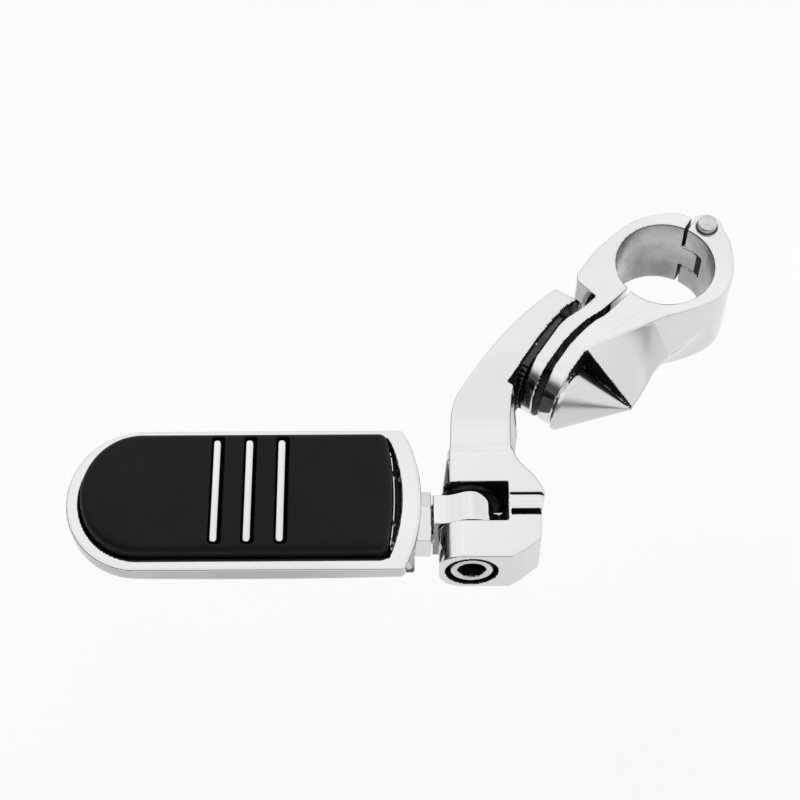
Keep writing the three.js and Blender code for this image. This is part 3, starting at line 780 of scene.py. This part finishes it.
def arm(p):
    x, y, z = pivot_axes(p)
    n, t, up = joint_axes(p)
    radial = np.hypot(t, up)
    # Draft of the inner wall, only on the side of the swivel axis away from the tube.
    draft = WALL_DRAFT * (CLAMP_HALF - up) * np.clip((y - 14) / 14, 0, 1) * np.clip((-8 - t) / 8, 0, 1)
    draft = draft * np.clip(x - 0.35 * y + 2, 0, 1)
    d = both(ARM_PLAN(x, y) - draft, ARM_SIDE(y, up), 0.8)
    d = both(d, np.hypot(np.maximum(t, 0), up) - ARM_END_RADIUS, 0.7)
    end = np.interp(t, *ARM_END)
    d = less(d, both((end - n) * 0.9, -20 - t), 0.5)
    teeth = TOOTH_DEPTH * np.abs(np.sin(TEETH / 2 * np.arctan2(up, t))) * np.clip((radial - 9) / 3, 0, 1)
    boss = rod(n, t, up, SERRATION[0] - 2, SERRATION[1], TAIL_RADIUS, 0.3) + teeth
    d = either(d, both(boss, np.abs(up) - SERRATION_HALF, 0.3), 0.2)
    d = either(d, clevis(x, y, z), 2.5)
    sill = both(SLOT_SILL_LEFT - x, z - SLOT_SILL_TOP, 0.6)
    d = less(d, less(both(x - SLOT_RIGHT, slab(y, *SLOT)), sill, 1.5), 0.3)
    wide = both(slab(y, *WIDE_GROOVE), SLOT_RIGHT + 0.9 - x)
    d = less(d, both(wide, EAR_HALF - WIDE_GROOVE_DEPTH - z, 0.6), 0.35)
    narrow = both(slab(y, *NARROW_GROOVE), SLOT_RIGHT + 0.6 - x)
    d = less(d, both(narrow, EAR_HALF - NARROW_GROOVE_DEPTH - z), 0.12)
    bolt = np.hypot(x, z)
    d = less(d, both(bolt - FOLD_HOLE, y - FOLD_HOLE_END), 0.1)
    d = less(d, both(bolt - CLEVIS_BORE, y - CLEVIS_FRONT - CLEVIS_BORE_DEPTH), 0.3)
    d = less(d, both(radial - CLAMP_SCREW_HOLE, n))
    return less(d, both(radial - COUNTERBORE, n - ARM_SEAT), 0.3)


def arm_finish_and_shade(p, normal):
    """0 for outer chrome, 1 for near-black painted shade on faces deep in a gap, 2 for darker painted shade
    on shaded sides and the serrated ring.
    """
    x, y, z = pivot_axes(p)
    n, t, up = joint_axes(p)
    side = np.abs(normal[:, 2]) < 0.6
    # Painted shade: near black in the slot, the clevis bore, the grooves and on the end face by the joint;
    # darker chrome on the serrated ring and on shaded sides.
    slot = (x < SLOT_RIGHT + 0.2) & (slab(y, *SLOT) < 0.2) & (np.abs(normal[:, 2]) < 0.75)
    bore = (np.hypot(x, z) < 8.1) & (y > CLEVIS_FRONT + 0.08) & (y < 20)
    groove = (slab(y, *WIDE_GROOVE) < 0.05) | (slab(y, *NARROW_GROOVE) < 0.05)
    groove &= (x > SLOT_RIGHT + 0.5) & (z < EAR_HALF - 0.2) & (z > EAR_HALF - WIDE_GROOVE_DEPTH - 0.2)
    radial = np.hypot(t, up)
    joint = (n > SERRATION[0] - 0.1) & (radial < ARM_END_RADIUS - 0.4) & (y > 15) & (normal @ AXIS > 0.5)
    joint &= (t < 17) | (up < 0)
    ring = (n > SERRATION[0] + 0.05) & (radial < TAIL_RADIUS + 0.2) & (y > 15)
    shaded_side = side & (normal @ AXIS > 0.35) & (y > 13) & (t < 21) & ~joint
    shaded_side |= (normal[:, 0] < -0.55) & (y > 0.5) & (y < 12.5) & (x < -5) & side
    shaded_side |= (normal[:, 0] > 0.3) & (p[:, 1] > -70) & (t < 0) & (y > 14) & side
    return np.select([slot | bore | groove | joint, shaded_side | ring], [1, 2], 0)


piece = surface("offset_arm", arm, PIVOT + (-10.5, -22, -18), PIVOT + (42, 82, 12), 0.55)
paint(piece, [CHROME, DEEP_SHADE, SHADE], arm_finish_and_shade)
place(piece, "arm", "chrome", "arm")

# ---------------------------------------------------------------- folding knuckle and jam nut
NECK_TOP = STUD_Z + NECK_HALF
NECK_LOW = STUD_Z - NECK_HALF
TONGUE_SIDE = outline(
    [(TONGUE_LEFT, NECK_LOW), (-8.6, NECK_LOW)]
    + bezier((-8.6, NECK_LOW), (-6.4, NECK_LOW), (-4.6, -EYE_RADIUS), (0, -EYE_RADIUS))
    + arc(0, 0, EYE_RADIUS, -math.pi / 2, math.pi / 2, 40)
    + bezier((0, EYE_RADIUS), (-3.4, EYE_RADIUS), (-5.6, NECK_TOP), (-8.2, NECK_TOP))
    + [(TONGUE_LEFT, NECK_TOP)]
)
TONGUE_PLAN = outline(
    [(TONGUE_LEFT, TONGUE[0]), (TONGUE_ROUND, TONGUE[0])]
    + arc(0, -SHOULDER, TONGUE_ROUND, 0, math.pi / 2, 20, TONGUE[1] + SHOULDER)
    + [(TONGUE_LEFT, TONGUE[1])]
)


def knuckle(p):
    x, y, z = pivot_axes(p)
    d = both(TONGUE_SIDE(x, z), TONGUE_PLAN(x, y), 0.45)
    d = less(d, np.hypot(x, z) - FOLD_HOLE, 0.3)
    stud = rod(-x, y - STUD_Y, z - STUD_Z, 11.0, STUD_END, STUD_RADIUS, 0.6)
    return either(d, stud, 0.3)


def jam_nut(p):
    x, y, z = pivot_axes(p)
    u, v = y - STUD_Y, z - STUD_Z
    a = -x
    d = both(hexagon(v, u, NUT_FLATS), slab(a, *NUT), 0.2)
    d = both(d, (np.hypot(u, v) - 9.2 - 1.6 * (a - NUT[0])) * 0.55, 0.15)
    return less(d, np.hypot(u, v) - STUD_RADIUS - GAP, 0.3)



def neck_finish_and_shade(p, normal):
    """0 for chrome, 1 for painted half shade on the front side of the neck."""
    x, y, z = pivot_axes(p)
    return np.where((x < -8.6) & (x > -12) & (normal[:, 1] < -0.7), 1, 0)


piece = surface("folding_knuckle", knuckle, PIVOT + (-36.5, -10, -14), PIVOT + (8, 3, 10), 0.4)
paint(piece, [CHROME, HALF_SHADE], neck_finish_and_shade)
place(piece, "knuckle", "chrome", "knuckle")
piece = surface("hex_jam_nut", jam_nut, PIVOT + (-17, -14, -14), PIVOT + (-11.5, 8, 8), 0.3)
paint(piece, [CHROME])
place(piece, "knuckle", "chrome", "jam_nut")


# ---------------------------------------------------------------- peg
def peg_outline(inset, end_inset, taper=1.25, bulge=BASE_END_BULGE, front=0.0):
    """Plan of the peg, drawn in by an inset: a shallow arc by the arm, half an ellipse at the free end."""
    half = BASE_HALF_WIDTH - inset - front / 2
    middle = STUD_Y + front / 2
    angle = math.asin(half / bulge)
    reach = BASE_END_LENGTH - taper * inset
    free = BASE_LEFT + BASE_END_LENGTH
    return outline(
        arc(BASE_RIGHT - end_inset - bulge, middle, bulge, -angle, angle, 40)
        + arc(free, middle, reach, math.pi / 2, 1.5 * math.pi, 70, half)
    )


OUTER_CORE = peg_outline(CORNER, CORNER, 1.0)
PAD_CORE = peg_outline(3.5 + PAD_CORNER, 8.6 + PAD_CORNER, 1.18, 105.0, 0.9)
INNER = peg_outline(3.1, 5.9, front=0.9)


def rim_plan(x, y):
    return OUTER_CORE(x, y) - CORNER


def pad_plan(x, y):
    return PAD_CORE(x, y) - PAD_CORNER


HUB_SIDE = outline(
    [(END_WALL, STUD_Z - HUB_HALF), (END_WALL, RIM_UNDERSIDE + 1), (-92, RIM_UNDERSIDE + 1)]
    + bezier((-92, RIM_UNDERSIDE + 1), (-70, 4), (-52, STUD_Z - HUB_HALF), (-42, STUD_Z - HUB_HALF))
)


def end_wall(x, y, z):
    """Foot of the peg by the arm, sloping in under the rim's end."""
    edge = BASE_RIGHT - BASE_END_BULGE + np.sqrt(np.maximum(BASE_END_BULGE**2 - (y - STUD_Y) ** 2, 1))
    s = np.clip((RIM_TOP - z) / 8, 0, 1)
    d = (x - (edge * (1 - s) + END_WALL * s)) * 0.95
    d = both(d, -26 - x)
    d = both(d, np.abs(y - STUD_Y) - END_WALL_HALF, 0.8)
    return both(d, slab(z, 5, RIM_TOP - 0.3), 0.6)


def bars(x, y, z):
    """Three cast ribs with a softly crowned top."""
    d = np.full(x.shape, 1e3)
    for middle in BAR_X:
        past_end = np.maximum(np.abs(y - BAR_Y) - (BAR_LENGTH - BAR_WIDTH) / 2, 0)
        plan = np.hypot(x - middle, past_end) - BAR_WIDTH / 2
        crown = z - BAR_TOP + 0.12 * (x - middle) ** 2
        d = np.minimum(d, both(both(plan, crown, 0.45), TRAY_FLOOR - 1 - z))
    return d


def peg_base(p):
    """Rim with a shallow tray, foot, hub, ribs and a thin lip beside the pad's end."""
    x, y, z = pivot_axes(p)
    belly = 1.1 * np.clip(1 - ((x + 66) / 48) ** 2, 0, 1)
    rim = both(rim_plan(x, y), slab(z, RIM_UNDERSIDE - belly, RIM_TOP), 0.75)
    d = either(rim, end_wall(x, y, z), 0.3)
    d = either(d, both(both(HUB_SIDE(x, z), np.abs(y - STUD_Y) - HUB_HALF, 2.0), z - RIM_UNDERSIDE - 1), 1.5)
    d = less(d, both(INNER(x, y), TRAY_FLOOR - z, 0.8), 0.5)
    d = less(d, both(END_WALL - x, z - RIM_UNDERSIDE))
    d = either(d, bars(x, y, z), 0.3)
    beside = pad_plan(x, y)
    lip = both(both(slab(beside, 0.15, 0.75), -26.5 - x), slab(z, TRAY_FLOOR - 1, RIM_TOP - 0.2), 0.25)
    d = np.minimum(d, both(lip, np.abs(y - STUD_Y) - 16.0, 0.2))
    d = less(d, both(both(np.hypot(y - STUD_Y, z - STUD_Z) - STUD_RADIUS - GAP, -38 - x), x + 10), 0.3)
    for sx, sy in PAD_SCREWS:
        d = less(d, np.hypot(x - sx, y - STUD_Y - sy) - PAD_SCREW_HOLE)
    return d


def pad(p):
    """Crowned rubber pad with openings for the three ribs."""
    x, y, z = pivot_axes(p)
    crown = 0.25 * np.clip(1 - ((y - STUD_Y) / 20) ** 2, 0, 1)
    d = both(pad_plan(x, y), z - PAD_TOP + 0.25 - crown, 2.5)
    d = both(d, TRAY_FLOOR + GAP - z, 0.3)
    for middle in BAR_X:
        across = slab(x, middle + BAR_OPENING[0], middle + BAR_OPENING[1])
        d = less(d, both(across, np.abs(y - BAR_Y) - BAR_OPENING_HALF, 0.9), 0.35)
    for sx, sy in PAD_SCREWS:
        d = less(d, both(np.hypot(x - sx, y - STUD_Y - sy) - PAD_SCREW_HOLE, z - PAD_SCREW_HOLE_TOP))
    return d


def tray_finish_and_shade(p, normal):
    """0 for chrome, 1 for near-black painted shade on the hidden floor of the tray, 2 for painted shade on
    the foot by the arm, 3 for painted shade on the outer wall.
    """
    x, y, z = pivot_axes(p)
    # Painted shade: near black on the tray floor, darker chrome on the foot and on the outer wall.
    floor = (INNER(x, y) < -0.1) & (z < TRAY_FLOOR + 0.3) & (z > TRAY_FLOOR - 0.5)
    foot = (x > -21) & (z < RIM_TOP - 1.2) & (normal[:, 2] < 0.5) & ((x > -17.8) | (z < RIM_UNDERSIDE - 0.3))
    wall = (rim_plan(x, y) > -0.12) & (z < RIM_TOP - 0.55)
    return np.select([floor, foot, wall], [1, 2, 3], 0)


piece = surface("peg_tray", peg_base, PIVOT + (-121.5, -28, -13), PIVOT + (-14.5, 21.5, 18), 0.6)
paint(piece, [CHROME, DEEP_SHADE, SHADE, SHADED_WALL], tray_finish_and_shade)
place(piece, "peg", "chrome", "peg_base")
piece = surface("ribbed_rubber_pad", pad, PIVOT + (-118, -25, 9.5), PIVOT + (-20, 19, 19), 0.55)
paint(piece, [RUBBER])
place(piece, "peg", "rubber", "rubber_pad")

for i, (sx, sy) in enumerate(PAD_SCREWS, 1):
    where = PIVOT + (sx, STUD_Y + sy, 0)

    def pad_screw(p):
        q = p - where
        return cap_screw(q[:, 2], q[:, 0], q[:, 1], PAD_SCREW_SEAT, PAD_SCREW)

    def pad_washer(p):
        q = p - where
        out = np.hypot(q[:, 0], q[:, 1])
        ring = both(out - PAD_WASHER_RADIUS, slab(q[:, 2], *PAD_WASHER), 0.2)
        return less(ring, out - PAD_SCREW_HOLE, 0.1)

    low, high = where + (-4.6, -4.6, 3), where + (4.6, 4.6, 15)
    piece = surface(f"pad_screw_turned_{i}", pad_screw, low, high, 0.3)
    paint(piece, [STEEL])
    place(piece, "peg", "steel", f"pad_screw_{i}")
    low, high = where + (-5.4, -5.4, 6.2), where + (5.4, 5.4, 7.8)
    piece = surface(f"pad_washer_pressed_{i}", pad_washer, low, high, 0.3)
    paint(piece, [STEEL])
    place(piece, "peg", "steel", f"pad_washer_{i}")

# ---------------------------------------------------------------- floor, light, camera
FLOOR_Z = -250.0
FLOOR_HALF = 9000
FLOOR_CENTRE = (-60, -60)
SKY_LEAN = (0.30, 0.30, 1.0)  # the sky is brightest in this direction
SKY_GREYS = ((0.0, 0.08), (0.12, 0.26), (0.26, 0.75), (0.44, 1.0), (1.0, 1.0))
SKY_STRENGTH = 1.2
CAMERA_PLACE = (-0.08810, -0.37937, 0.52887)  # in metres
CAMERA_TILT = 32.5  # degrees from straight down
CAMERA_TURN = -0.37  # degrees about z
CAMERA_LENS = 88.97


def floor():
    m, tree, shader = material("pale_floor")
    colour = colour_between(tree, noise(tree, 3, 2), (0.925, 0.925, 0.925), (0.945, 0.945, 0.945))
    tree.links.new(colour, shader.inputs["Base Color"])
    shader.inputs["Roughness"].default_value = 0.9
    corners = [
        (FLOOR_CENTRE[0] + sx * FLOOR_HALF, FLOOR_CENTRE[1] + sy * FLOOR_HALF, FLOOR_Z)
        for sx, sy in ((-1, -1), (1, -1), (1, 1), (-1, 1))
    ]
    obj = build("studio_floor", np.array(corners, float), np.array([[0, 1, 2, 3]]))
    obj.data.materials.append(m)


def soft_sky():
    """White dome that darkens towards the horizon, with broad faint clouds in its strength."""
    world = bpy.data.worlds.new("studio")
    bpy.context.scene.world = world
    world.use_nodes = True
    tree = world.node_tree
    background = tree.nodes["Background"]
    where = node(tree, "ShaderNodeTexCoord").outputs["Generated"]
    lean = node(tree, "ShaderNodeVectorMath", operation="DOT_PRODUCT")
    lean.inputs[1].default_value = SKY_LEAN
    tree.links.new(where, lean.inputs[0])
    cloud = node(tree, "ShaderNodeTexNoise", Scale=3.2, Detail=1.5)
    tree.links.new(where, cloud.inputs["Vector"])
    sky = node(tree, "ShaderNodeValToRGB")
    tree.links.new(lean.outputs["Value"], sky.inputs["Fac"])
    stops = sky.color_ramp.elements
    for i, (position, grey) in enumerate(SKY_GREYS):
        stop = stops.new(position) if 0 < i < len(SKY_GREYS) - 1 else stops[0 if i == 0 else -1]
        stop.color = (grey, grey, grey, 1)
    tree.links.new(sky.outputs["Color"], background.inputs["Color"])
    gain = node(tree, "ShaderNodeMath", operation="MULTIPLY")
    gain.inputs[1].default_value = SKY_STRENGTH
    tree.links.new(ramp(tree, cloud.outputs["Fac"], 0.90, 1.03), gain.inputs[0])
    tree.links.new(gain.outputs["Value"], background.inputs["Strength"])


def aim_camera():
    data = bpy.data.cameras.new("camera")
    camera = bpy.data.objects.new("camera", data)
    bpy.context.scene.collection.objects.link(camera)
    camera.location = CAMERA_PLACE
    camera.rotation_euler = (math.radians(CAMERA_TILT), 0.0, math.radians(CAMERA_TURN))
    data.lens = CAMERA_LENS
    data.sensor_width = 36
    data.clip_start = 0.01
    data.clip_end = 20
    bpy.context.scene.camera = camera
    bpy.context.scene.view_settings.view_transform = "Standard"


floor()
soft_sky()
aim_camera()
